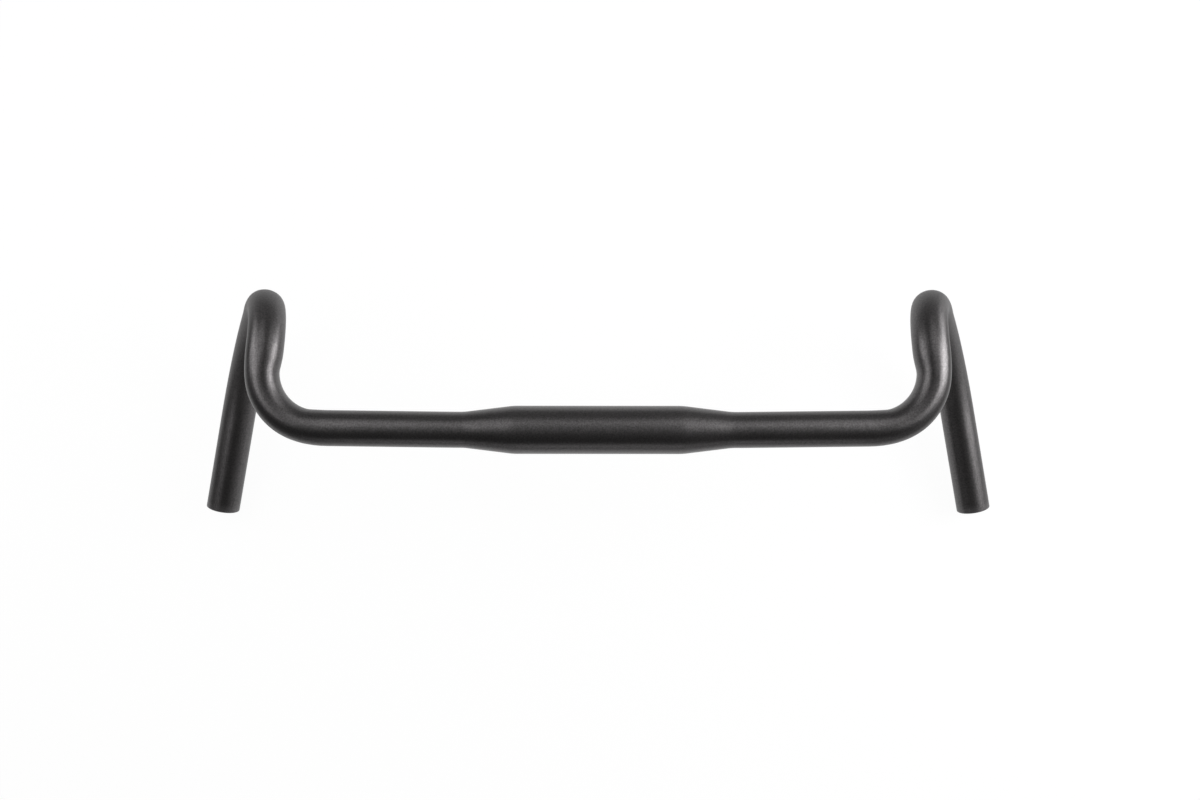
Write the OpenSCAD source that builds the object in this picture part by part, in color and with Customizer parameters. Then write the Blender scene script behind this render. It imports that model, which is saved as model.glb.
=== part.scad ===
// Gravel drop handlebar: one alloy tube, swaged up to the stem clamp diameter and bent to shape.
// X runs across the bar, Y points forward in the riding direction and Z points up.
// The origin is the middle of the stem clamp area, on the axis of the tube.

/* [Stem clamp area] */
// Outer diameter where the stem grips the bar
clamp_d = 31.8; // [25.4:0.1:35]
// Length of the parallel part between the two tapers
clamp_len = 106; // [60:1:140]
// Length of each taper from the clamp diameter down to the grip diameter
taper_len = 38; // [25:1:70]
// Radius that rounds both ends of each taper in profile
taper_blend_r = 45; // [10:1:60]
// Wall at the stem clamp
clamp_wall = 2.3; // [1.5:0.1:4]

/* [Grip tube] */
// Outer diameter of the tops, ramps, hooks and drops
tube_d = 23.8; // [22.2:0.1:26]
// Wall of the tube away from the clamp
tube_wall = 1.6; // [1.2:0.1:3]
// How much a bend draws the tube's radius in
bend_draw = 0.02; // [0.01:0.01:0.1]

/* [Tops] */
// Forward sweep of each top, in degrees
sweep_angle = 0.7; // [0.2:0.1:8]
// Radius of the slight bend that sets the sweep, on the tube's axis
sweep_r = 500; // [200:10:900]
// Straight length of each top, from the sweep bend to the corner
top_len = 81; // [40:1:140]

/* [Corners] */
// Radius of the gentle lead into the corner, on the tube's axis
lead_r = 104; // [60:1:200]
// Turn of the gentle lead, in degrees
lead_angle = 6.7; // [1:0.1:20]
// Radius of the corner between top and ramp, on the tube's axis
corner_r = 36; // [30:1:60]
// Turn of the corner, in degrees
corner_angle = 90.7; // [70:0.1:96]

/* [Ramps] */
// Straight length of each ramp, from the corner to the hook
ramp_len = 2; // [1:0.5:40]

/* [Hooks] */
// Flare of the hooks: how far their bend plane leans out from upright, in degrees
flare_angle = 18; // [0:0.5:30]
// Radius of the upper part of the hook, on the tube's axis
hook_upper_r = 38; // [30:1:70]
// Turn of the upper part of the hook, in degrees
hook_upper_angle = 119; // [90:1:130]
// Radius of the lower part of the hook, on the tube's axis
hook_lower_r = 114; // [60:1:140]
// Turn of the lower part of the hook, in degrees
hook_lower_angle = 48.5; // [20:0.5:55]

/* [Drops] */
// Straight length of each drop
drop_len = 70; // [40:1:120]
// Bevel that breaks the outer edge at each end of the tube
end_bevel = 0.6; // [0.2:0.1:1]

/* [Hidden] */
$fn = 96;
clamp_r = clamp_d / 2;
tube_r = tube_d / 2;
clamp_bore_r = clamp_r - clamp_wall;
tube_bore_r = tube_r - tube_wall;
taper_end_x = clamp_len / 2 + taper_len;
// Points along each rounded end of a taper
blend_steps = 8;
// How far each straight and each finer bend reaches into its neighbour
lap = 0.2;
// How far the bore runs out past the open ends
mouth = 1;

// Points of an arc about c in the plane of a profile, from angle a0 to a1
function arc_points(c, r, a0, a1, steps) =
    [for (i = [0:steps]) let (a = a0 + (a1 - a0) * i / steps) c + r * [cos(a), sin(a)]];

// Slope of the straight stretch that joins the two rounded ends of a taper
function taper_slope(len, fall, r) =
    let (rise = 2 * r - fall) asin(2 * r / norm([len, rise])) - atan2(rise, len);

// The same points on the other side of the middle, in the opposite order
function mirrored(points) =
    [for (i = [len(points) - 1:-1:0]) [points[i][0], -points[i][1]]];

// One side of the clamp area in profile: shoulder, straight taper and foot.
// The first number of each point is a radius and the second a distance from the middle.
function taper_points(r_mid, r_end) =
    let (slope = taper_slope(taper_len, r_mid - r_end, taper_blend_r))
    concat(
        arc_points([r_mid - taper_blend_r, clamp_len / 2], taper_blend_r, 0, slope, blend_steps),
        arc_points([r_end + taper_blend_r, taper_end_x], taper_blend_r, 180 + slope, 180, blend_steps),
        [[r_end, taper_end_x + lap], [0, taper_end_x + lap]]);

// The clamp area and both tapers, turned about the X axis
module middle(r_mid, r_end) {
    side_points = taper_points(r_mid, r_end);
    rotate([0, 90, 0]) rotate_extrude() polygon(concat(mirrored(side_points), side_points));
}

// A straight length along +X, then whatever follows it
module run(length, r) {
    translate([-lap, 0, 0]) rotate([0, 90, 0]) cylinder(h = length + 2 * lap, r = r);
    translate([length, 0, 0]) children();
}

// A bend that turns from +X towards +Y, then whatever follows it.
// reach carries it on a little further, into a finer bend that follows.
module bend(axis_r, angle, r, reach = 0) {
    translate([0, axis_r, 0]) {
        rotate([0, 0, -90]) rotate_extrude(angle = angle + reach / axis_r * 180 / PI)
            translate([axis_r, 0]) circle(r = r);
        rotate([0, 0, angle]) translate([0, -axis_r, 0]) children();
    }
}

// The straight drop. A bevel breaks its edge, and past carries it on beyond the end.
module drop(length, r, bevel, past) {
    tip = length + past;
    rotate([0, 90, 0]) rotate_extrude()
        polygon([[0, -lap], [r, -lap], [r, tip - bevel], [r - bevel, tip], [0, tip]]);
}

// Everything outboard of one taper, bent in the order a bender makes it
module side(r, bevel, past) {
    bent_r = r - bend_draw;
    tight_r = r - 2 * bend_draw;
    translate([taper_end_x, 0, 0])
        bend(sweep_r, sweep_angle, bent_r)
        run(top_len, r)
        bend(lead_r, lead_angle, bent_r, lap)
        bend(corner_r, corner_angle, tight_r)
        run(ramp_len, r)
        rotate([-90 - flare_angle, 0, 0])
        bend(hook_upper_r, hook_upper_angle, bent_r, lap)
        bend(hook_lower_r, hook_lower_angle, tight_r)
        drop(drop_len, r, bevel, past);
}

// The whole bar as a solid rod: the clamp area and a side to the right and to the left
module rod(r_mid, r_end, bevel, past) {
    middle(r_mid, r_end);
    side(r_end, bevel, past);
    mirror([1, 0, 0]) side(r_end, bevel, past);
}

module handlebar() {
    color("#232224") difference() {
        rod(clamp_r, tube_r, end_bevel, 0);
        rod(clamp_bore_r, tube_bore_r, 0, mouth);
    }
}

handlebar();
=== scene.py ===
"""Looks of the gravel drop handlebar: one bent alloy tube, blasted and anodised matte black.

Everything is in metres, in the frame of the CAD part: X across the bar, Y forward, Z up,
with the origin in the middle of the stem clamp area.
"""

import math

import bpy
from mathutils import Matrix, Vector


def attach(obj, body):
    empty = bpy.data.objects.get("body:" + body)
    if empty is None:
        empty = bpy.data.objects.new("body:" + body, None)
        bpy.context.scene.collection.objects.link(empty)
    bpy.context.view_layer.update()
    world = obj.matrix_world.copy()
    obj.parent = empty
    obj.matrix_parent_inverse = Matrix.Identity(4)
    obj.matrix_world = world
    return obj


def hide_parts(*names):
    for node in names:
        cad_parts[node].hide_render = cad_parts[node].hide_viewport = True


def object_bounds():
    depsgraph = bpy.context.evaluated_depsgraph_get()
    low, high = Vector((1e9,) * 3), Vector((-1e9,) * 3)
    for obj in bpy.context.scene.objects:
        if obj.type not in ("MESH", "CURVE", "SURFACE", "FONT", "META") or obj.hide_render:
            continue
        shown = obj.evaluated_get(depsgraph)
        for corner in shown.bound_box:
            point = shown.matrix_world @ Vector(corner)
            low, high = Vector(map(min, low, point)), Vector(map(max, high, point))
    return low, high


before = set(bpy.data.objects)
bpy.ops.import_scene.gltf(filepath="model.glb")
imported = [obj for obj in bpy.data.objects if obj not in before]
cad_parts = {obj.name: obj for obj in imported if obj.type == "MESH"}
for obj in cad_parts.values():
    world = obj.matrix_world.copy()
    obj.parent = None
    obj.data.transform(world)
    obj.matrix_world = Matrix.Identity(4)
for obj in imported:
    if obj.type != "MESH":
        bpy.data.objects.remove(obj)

CAD_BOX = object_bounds()
MM = 0.001

# Sizes of the bar, as the part has them
CLAMP_R = 15.9 * MM
CLAMP_LEN = 106 * MM
TAPER_LEN = 38 * MM
TAPER_BLEND_R = 45 * MM
TUBE_R = 11.9 * MM
CLAMP_WALL = 2.3 * MM
TUBE_WALL = 1.6 * MM
SWEEP = (500 * MM, math.radians(0.7))
TOP_LEN = 81 * MM
LEAD = (104 * MM, math.radians(6.7))
CORNER = (36 * MM, math.radians(90.7))
RAMP_LEN = 2 * MM
FLARE = math.radians(18)
HOOK_UPPER = (38 * MM, math.radians(119))
HOOK_LOWER = (114 * MM, math.radians(48.5))
DROP_LEN = 70 * MM

# How far the tight bends flatten the tube: a share of its radius, in the bend's plane and across it
CORNER_OVAL = 0.05
HOOK_OVAL = 0.045
# Length over which the tube goes from round to oval at each end of a tight bend
OVAL_BLEND = 16 * MM
# Rounding of the outer and the inner edge at the open ends
RIM_R = 0.6 * MM
RIM_INNER_R = 0.3 * MM

# Fineness of the mesh
SIDES = 72
BEND_STEP = math.radians(2.5)
RUN_STEP = 6 * MM
TAPER_STEP = TAPER_LEN / 32
RIM_STEPS = 4

# Names of the mesh's UV map and of its wear attribute
TUBE_UV = "along_tube"
WEAR = "wear"

# Camera, as the photograph's outlines give it
IMAGE_W = 1200
FOCAL_PX = 1600
SENSOR_W = 36.0
CAMERA_POS = Vector((1.3 * MM, 11.0 * MM, 1054.8 * MM))
CAMERA_PITCH = math.radians(0.473)
CAMERA_ROLL = math.radians(0.053)

# The floor lies a little below the lowest point of the bar
FLOOR_Z = CAD_BOX[0].z - 0.5 * MM


def turned(axes, about, angle):
    """The three axes turned about one of themselves, given by its number."""
    turn = Matrix.Rotation(angle, 3, axes[about])
    return [turn @ a for a in axes]


def blend_step(t):
    """0 before 0, 1 after 1 and a smooth rise between."""
    t = min(max(t, 0.0), 1.0)
    return t * t * (3 - 2 * t)


class Bender:
    """Lays stations along the tube's axis as a bender would: straights, bends and rolls.

    A station is a place on the axis, with the direction of the tube, the direction towards
    the centre of the next bend, the direction across that bend, the length so far and
    the roll so far.
    """

    def __init__(self, start):
        self.place = Vector((start, 0, 0))
        self.axes = [Vector((1, 0, 0)), Vector((0, 1, 0)), Vector((0, 0, 1))]
        self.length = start
        self.rolled = 0.0
        self.stations = []
        self.ovals = []

    def mark(self, place, axes, length):
        self.stations.append((place.copy(), [a.copy() for a in axes], length, self.rolled))

    def run(self, length, step=RUN_STEP):
        count = max(1, math.ceil(length / step))
        for i in range(count):
            part = length * i / count
            self.mark(self.place + self.axes[0] * part, self.axes, self.length + part)
        self.place = self.place + self.axes[0] * length
        self.length += length

    def bend(self, radius, angle, oval=0.0):
        start = self.length
        count = max(2, math.ceil(angle / BEND_STEP))
        centre = self.place + self.axes[1] * radius
        for i in range(count):
            part = angle * i / count
            axes = turned(self.axes, 2, part)
            self.mark(centre - axes[1] * radius, axes, self.length + radius * part)
        self.axes = turned(self.axes, 2, angle)
        self.place = centre - self.axes[1] * radius
        self.length += radius * angle
        if oval:
            self.ovals.append((start, self.length, self.rolled, oval))

    def roll(self, angle):
        self.axes = turned(self.axes, 0, angle)
        self.rolled += angle


def taper_slope(fall):
    """Slope of the straight stretch between the two rounded ends of a taper."""
    rise = 2 * TAPER_BLEND_R - fall
    across = math.hypot(TAPER_LEN, rise)
    return math.asin(2 * TAPER_BLEND_R / across) - math.atan2(rise, TAPER_LEN)


def middle_radius(x, r_mid, r_end):
    """Radius of the clamp area or a taper at a distance from the middle of the bar."""
    slope = taper_slope(r_mid - r_end)
    into = x - CLAMP_LEN / 2
    left = TAPER_LEN - into
    rounded = TAPER_BLEND_R * math.sin(slope)
    if into <= 0:
        return r_mid
    if left <= 0:
        return r_end
    if into < rounded:
        return r_mid - TAPER_BLEND_R + math.sqrt(TAPER_BLEND_R ** 2 - into ** 2)
    if left < rounded:
        return r_end + TAPER_BLEND_R - math.sqrt(TAPER_BLEND_R ** 2 - left ** 2)
    shoulder_r = r_mid - TAPER_BLEND_R * (1 - math.cos(slope))
    return shoulder_r - (into - rounded) * math.tan(slope)


def right_side():
    """Stations from the middle of the bar to the rim of the right drop."""
    bender = Bender(0.0)
    bender.run(CLAMP_LEN / 2)
    bender.run(TAPER_LEN, TAPER_STEP)
    bender.bend(*SWEEP)
    bender.run(TOP_LEN)
    bender.bend(*LEAD)
    bender.bend(*CORNER, CORNER_OVAL)
    bender.run(RAMP_LEN)
    bender.roll(-math.pi / 2 - FLARE)
    bender.bend(*HOOK_UPPER, HOOK_OVAL)
    bender.bend(*HOOK_LOWER)
    bender.run(DROP_LEN - RIM_R)
    return bender


def ovalness(bender, length, angle):
    """How far the tube is drawn in at a length along it and an angle round it, over its radius."""
    drawn = 0.0
    for start, stop, rolled, amount in bender.ovals:
        rise = blend_step((length - start) / OVAL_BLEND + 0.5)
        fall = blend_step((stop - length) / OVAL_BLEND + 0.5)
        drawn += amount * rise * fall * math.cos(2 * (angle - rolled))
    return drawn


def ring(bender, station, radius, past=0.0):
    """Points round the tube at a station or a little past it, numbered alike all along."""
    place, axes, length, rolled = station
    points = []
    for i in range(SIDES):
        angle = 2 * math.pi * i / SIDES
        out = axes[1] * math.cos(angle - rolled) + axes[2] * math.sin(angle - rolled)
        r = radius * (1 - ovalness(bender, length, angle))
        points.append(place + axes[0] * past + out * r)
    return points


def rim(bender, station, radius, rounding, inwards):
    """Rings that round one edge of the open end, from the tube's side to its end face."""
    rings = []
    for i in range(RIM_STEPS + 1):
        turn = math.pi / 2 * i / RIM_STEPS
        past = RIM_R - rounding * (1 - math.sin(turn))
        drawn = inwards * rounding * (1 - math.cos(turn))
        rings.append(ring(bender, station, radius - drawn, past))
    return rings


def skin(bender, r_mid, r_end, rounding, inwards):
    """All the rings of one skin of the right half, from the middle to the end face."""
    rings = [ring(bender, s, middle_radius(s[2], r_mid, r_end)) for s in bender.stations]
    mouth = (bender.place, bender.axes, bender.length, bender.rolled)
    return rings + rim(bender, mouth, r_end, rounding, inwards)


def both_sides(right):
    """A skin's rings from the left end face to the right one, by mirroring the right half."""
    left = [[Vector((-p.x, p.y, p.z)) for p in points] for points in reversed(right[1:])]
    return left + right


def tube_mesh():
    """The whole bar as one closed mesh: outside to the right mouth, and back along the bore."""
    bender = right_side()
    outside = both_sides(skin(bender, CLAMP_R, TUBE_R, RIM_R, 1))
    bore = both_sides(skin(bender, CLAMP_R - CLAMP_WALL, TUBE_R - TUBE_WALL, RIM_INNER_R, -1))
    rings = outside + bore[::-1]
    points = [p for points in rings for p in points]
    faces = []
    for k in range(len(rings)):
        here, there = k * SIDES, (k + 1) % len(rings) * SIDES
        for i in range(SIDES):
            j = (i + 1) % SIDES
            faces.append((here + i, here + j, there + j, there + i))
    mesh = bpy.data.meshes.new("handlebar_tube")
    mesh.from_pydata([tuple(p) for p in points], [], faces)
    mesh.polygons.foreach_set("use_smooth", [True] * len(mesh.polygons))
    mark_wear(mesh, len(outside), len(rings))
    lay_grain(mesh, len(rings))
    mesh.update()
    return mesh


def lay_grain(mesh, ring_count):
    """A UV map with U along the tube and V round it, which steers the stretched sheen."""
    layer = mesh.uv_layers.new(name=TUBE_UV)
    du, dv = 1 / ring_count, 1 / SIDES
    values = []
    for k in range(ring_count):
        for i in range(SIDES):
            u, v = k * du, i * dv
            values += [u, v, u, v + dv, u + du, v + dv, u + du, v]
    layer.data.foreach_set("uv", values)


def mark_wear(mesh, outside_count, ring_count):
    """Stores where handling rubs the finish: 1 on the outer rims and 0 elsewhere."""
    layer = mesh.attributes.new(WEAR, "FLOAT", "POINT")
    left_rim = range(RIM_STEPS + 1)
    right_rim = range(outside_count - RIM_STEPS - 1, outside_count)
    values = []
    for k in range(ring_count):
        on_rim = k in left_rim or k in right_rim
        values += [1.0 if on_rim else 0.0] * SIDES
    layer.data.foreach_set("value", values)


# Materials

# The noises: scale per metre, detail and roughness
CLOUD = (22, 3, 0.55)
GRAIN = (1300, 3, 0.7)
SPECKLE = (900, 3, 0.8)
# Between which two blacks the cloud varies
BLACK_LOW = (0.0085, 0.0082, 0.0082, 1)
BLACK_HIGH = (0.0125, 0.0120, 0.0118, 1)
# Paler metal on worn edges, and how much of it shows
WORN = (0.06, 0.058, 0.06, 1)
WORN_SHARE = 0.6
# Between which values the grain varies the roughness and the speckle varies the gloss
ROUGHNESS = (0.33, 0.45)
GLOSS = (0.33, 0.67)
# Relief of the grain
GRAIN_STRENGTH = 0.25
GRAIN_DEPTH = 0.05 * MM
# How far the sheen is stretched along the tube
SHEEN_STRETCH = 0.5
# Refraction of the clear oxide layer
OXIDE_IOR = 1.77
# Very slightly warm tint of its sheen
OXIDE_TINT = (1.0, 0.955, 0.97, 1)


def nodes_of(owner):
    """A clean node tree of a material or a world, with a shorthand for new nodes."""
    owner.use_nodes = True
    tree = owner.node_tree
    tree.nodes.clear()

    def add(kind, **settings):
        node = tree.nodes.new(kind)
        for name, value in settings.items():
            setattr(node, name, value)
        return node

    return tree, add


def noise(tree, add, coords, scale, detail, rough):
    """The value of a noise texture, around one half."""
    node = add("ShaderNodeTexNoise")
    node.inputs["Scale"].default_value = scale
    node.inputs["Detail"].default_value = detail
    node.inputs["Roughness"].default_value = rough
    tree.links.new(coords, node.inputs["Vector"])
    return node.outputs["Fac"]


def spread(tree, add, value, low, high, low_to, high_to):
    """The value moved from one range to another and held inside it."""
    node = add("ShaderNodeMapRange")
    node.inputs["From Min"].default_value = low
    node.inputs["From Max"].default_value = high
    node.inputs["To Min"].default_value = low_to
    node.inputs["To Max"].default_value = high_to
    tree.links.new(value, node.inputs["Value"])
    return node.outputs["Result"]


def combine(tree, add, operation, first, second):
    """Two values put together by a calculation."""
    node = add("ShaderNodeMath", operation=operation)
    tree.links.new(first, node.inputs[0])
    tree.links.new(second, node.inputs[1])
    return node.outputs[0]


def anodised_black():
    """Blasted alloy, anodised matte black: near black, with a soft sheen and a fine speckle."""
    material = bpy.data.materials.new("matte_black_anodised")
    tree, add = nodes_of(material)
    link = tree.links.new
    coords = add("ShaderNodeTexCoord").outputs["Object"]
    shader = add("ShaderNodeBsdfPrincipled")
    output = add("ShaderNodeOutputMaterial")
    link(shader.outputs["BSDF"], output.inputs["Surface"])

    cloud = noise(tree, add, coords, *CLOUD)
    black = add("ShaderNodeMix", data_type="RGBA")
    black.inputs["A"].default_value = BLACK_LOW
    black.inputs["B"].default_value = BLACK_HIGH
    link(spread(tree, add, cloud, 0.3, 0.7, 0, 1), black.inputs["Factor"])
    wear = add("ShaderNodeAttribute", attribute_name=WEAR)
    worn = add("ShaderNodeMix", data_type="RGBA")
    worn.inputs["B"].default_value = WORN
    link(black.outputs["Result"], worn.inputs["A"])
    link(spread(tree, add, wear.outputs["Fac"], 0, 1, 0, WORN_SHARE), worn.inputs["Factor"])
    link(worn.outputs["Result"], shader.inputs["Base Color"])

    grain = noise(tree, add, coords, *GRAIN)
    link(spread(tree, add, grain, 0.3, 0.7, *ROUGHNESS), shader.inputs["Roughness"])
    bump = add("ShaderNodeBump")
    bump.inputs["Strength"].default_value = GRAIN_STRENGTH
    bump.inputs["Distance"].default_value = GRAIN_DEPTH
    link(grain, bump.inputs["Height"])
    link(bump.outputs["Normal"], shader.inputs["Normal"])

    speckle = noise(tree, add, coords, *SPECKLE)
    link(spread(tree, add, speckle, 0.35, 0.65, *GLOSS), shader.inputs["Specular IOR Level"])
    shader.inputs["IOR"].default_value = OXIDE_IOR
    shader.inputs["Specular Tint"].default_value = OXIDE_TINT
    shader.inputs["Anisotropic"].default_value = SHEEN_STRETCH
    tangent = add("ShaderNodeTangent", direction_type="UV_MAP", uv_map=TUBE_UV)
    link(tangent.outputs["Tangent"], shader.inputs["Tangent"])
    return material


def pale_floor():
    """A white floor. The camera sees it near white, with the bar's soft shadow left in.

    In the bar's gloss it glows, less and less the further away it is.
    """
    material = bpy.data.materials.new("pale_floor")
    tree, add = nodes_of(material)
    link = tree.links.new
    lit = add("ShaderNodeBsdfDiffuse")
    lit.inputs["Color"].default_value = FLOOR_PAINT
    plain = add("ShaderNodeEmission")
    rays = add("ShaderNodeLightPath")
    seen = rays.outputs["Is Camera Ray"]
    away = add("ShaderNodeVectorMath", operation="LENGTH")
    link(add("ShaderNodeTexCoord").outputs["Object"], away.inputs[0])
    glow = spread(tree, add, away.outputs["Value"], *FLOOR_FADE, FLOOR_GLOW, FLOOR_FAR_GLOW)
    brightness = add("ShaderNodeMix", data_type="FLOAT")
    brightness.inputs["B"].default_value = 1
    link(seen, brightness.inputs["Factor"])
    link(glow, brightness.inputs["A"])
    link(brightness.outputs["Result"], plain.inputs["Strength"])
    to_camera = spread(tree, add, seen, 0, 1, 0, FLOOR_WHITE)
    share = combine(tree, add, "MAXIMUM", to_camera, rays.outputs["Is Glossy Ray"])
    mix = add("ShaderNodeMixShader")
    link(share, mix.inputs["Fac"])
    link(lit.outputs[0], mix.inputs[1])
    link(plain.outputs[0], mix.inputs[2])
    link(mix.outputs[0], add("ShaderNodeOutputMaterial").inputs["Surface"])
    return material


# Stage, lights and camera

FLOOR_SIZE = 60.0
FLOOR_PAINT = (0.9, 0.9, 0.9, 1)
# Share of plain white in what the camera sees of the floor
FLOOR_WHITE = 0.96
# Brightness of the floor in the bar's gloss, under the bar and far away
FLOOR_GLOW = 1.0
FLOOR_FAR_GLOW = 0.12
# Distances from the origin between which it fades
FLOOR_FADE = (0.2, 0.8)
# Brightness of the room on the bar, and of its walls in the bar's gloss
ROOM_LIGHT = 0.26
FRONT_GLOW = 0.25
REAR_GLOW = 0.1
RIGHT_GLOW = 0.35
# Height of those walls, as the upward part of a direction of length one
WALL_TOP = 0.5
# Soft panels: side, degrees forwards from that side, degrees up, distance, width, height and watts
PANELS = {
    "left_main": (-1, 22, 20, 0.9, 0.4, 0.4, 1.9),
    "left_side": (-1, 8, 42, 0.9, 0.4, 0.4, 1.8),
    "left_top": (-1, 45, 45, 0.6, 0.4, 0.4, 0.75),
    "right_main": (1, 12, 14, 0.9, 0.4, 0.4, 4.0),
    "right_side": (1, 10, 32, 0.9, 0.4, 0.4, 5.2),
    "right_low": (1, 30, 0, 0.9, 0.4, 0.4, 1.4),
    "right_top": (1, 50, 45, 0.6, 0.4, 0.4, 0.75),
    "rear": (1, -90, 6, 1.1, 0.7, 0.4, 0.75),
}


def make_floor():
    """The floor, as part of the stage and not of the object."""
    half = FLOOR_SIZE / 2
    mesh = bpy.data.meshes.new("floor")
    outline = [(-half, -half), (half, -half), (half, half), (-half, half)]
    mesh.from_pydata([(x, y, FLOOR_Z) for x, y in outline], [], [(0, 1, 2, 3)])
    floor = bpy.data.objects.new("floor", mesh)
    bpy.context.scene.collection.objects.link(floor)
    floor.data.materials.append(pale_floor())


def make_room():
    """White to the camera. The bar's gloss sees walls that glow low down, and a dark ceiling."""
    world = bpy.data.worlds.new("room")
    bpy.context.scene.world = world
    tree, add = nodes_of(world)
    link = tree.links.new
    split = add("ShaderNodeSeparateXYZ")
    link(add("ShaderNodeTexCoord").outputs["Generated"], split.inputs[0])
    front = spread(tree, add, split.outputs["Y"], 0, 1, 0, FRONT_GLOW)
    rear = spread(tree, add, split.outputs["Y"], 0, -1, 0, REAR_GLOW)
    right = spread(tree, add, split.outputs["X"], 0, 1, 0, RIGHT_GLOW)
    low = spread(tree, add, split.outputs["Z"], 0, WALL_TOP, 1, 0)
    both = combine(tree, add, "ADD", front, rear)
    walls = combine(tree, add, "ADD", both, right)
    glow = combine(tree, add, "MULTIPLY", walls, low)
    rays = add("ShaderNodeLightPath")
    seen = background(add, 1.0)
    ambient = background(add, ROOM_LIGHT)
    glossy = background(add, 0.0)
    link(glow, glossy.inputs["Strength"])
    first = add("ShaderNodeMixShader")
    second = add("ShaderNodeMixShader")
    link(rays.outputs["Is Glossy Ray"], first.inputs["Fac"])
    link(ambient.outputs[0], first.inputs[1])
    link(glossy.outputs[0], first.inputs[2])
    link(rays.outputs["Is Camera Ray"], second.inputs["Fac"])
    link(first.outputs[0], second.inputs[1])
    link(seen.outputs[0], second.inputs[2])
    link(second.outputs[0], add("ShaderNodeOutputWorld").inputs["Surface"])


def background(add, strength):
    """A white background of the given brightness."""
    node = add("ShaderNodeBackground")
    node.inputs["Color"].default_value = (1, 1, 1, 1)
    node.inputs["Strength"].default_value = strength
    return node


def make_panels():
    """Soft panels all round, each turned to the middle of the bar."""
    for name, (side, forward, up, distance, width, height, watts) in PANELS.items():
        lamp = bpy.data.lights.new(name, "AREA")
        lamp.shape = "RECTANGLE"
        lamp.size = width
        lamp.size_y = height
        lamp.energy = watts
        holder = bpy.data.objects.new(name, lamp)
        forward, up = math.radians(forward), math.radians(up)
        level = math.cos(up)
        out = Vector((side * level * math.cos(forward), level * math.sin(forward), math.sin(up)))
        holder.location = out * distance
        holder.rotation_mode = "QUATERNION"
        holder.rotation_quaternion = out.to_track_quat("Z", "Y")
        holder.visible_camera = False
        bpy.context.scene.collection.objects.link(holder)


def make_camera():
    """The photograph's view: from overhead, with forward up in the image."""
    data = bpy.data.cameras.new("photo_view")
    data.sensor_width = SENSOR_W
    data.lens = SENSOR_W * FOCAL_PX / IMAGE_W
    data.clip_start = 0.01
    data.clip_end = 100
    camera = bpy.data.objects.new("photo_view", data)
    camera.location = CAMERA_POS
    camera.rotation_euler = (CAMERA_PITCH, 0, CAMERA_ROLL)
    bpy.context.scene.collection.objects.link(camera)
    bpy.context.scene.camera = camera


def make_bar():
    """The visual tube, which is shown in place of the CAD node."""
    bar = bpy.data.objects.new("handlebar_tube", tube_mesh())
    bpy.context.scene.collection.objects.link(bar)
    bar.data.materials.append(anodised_black())
    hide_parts("handlebar")
    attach(bar, "root")


bpy.context.scene.view_settings.view_transform = "Standard"
make_bar()
make_floor()
make_room()
make_panels()
make_camera()
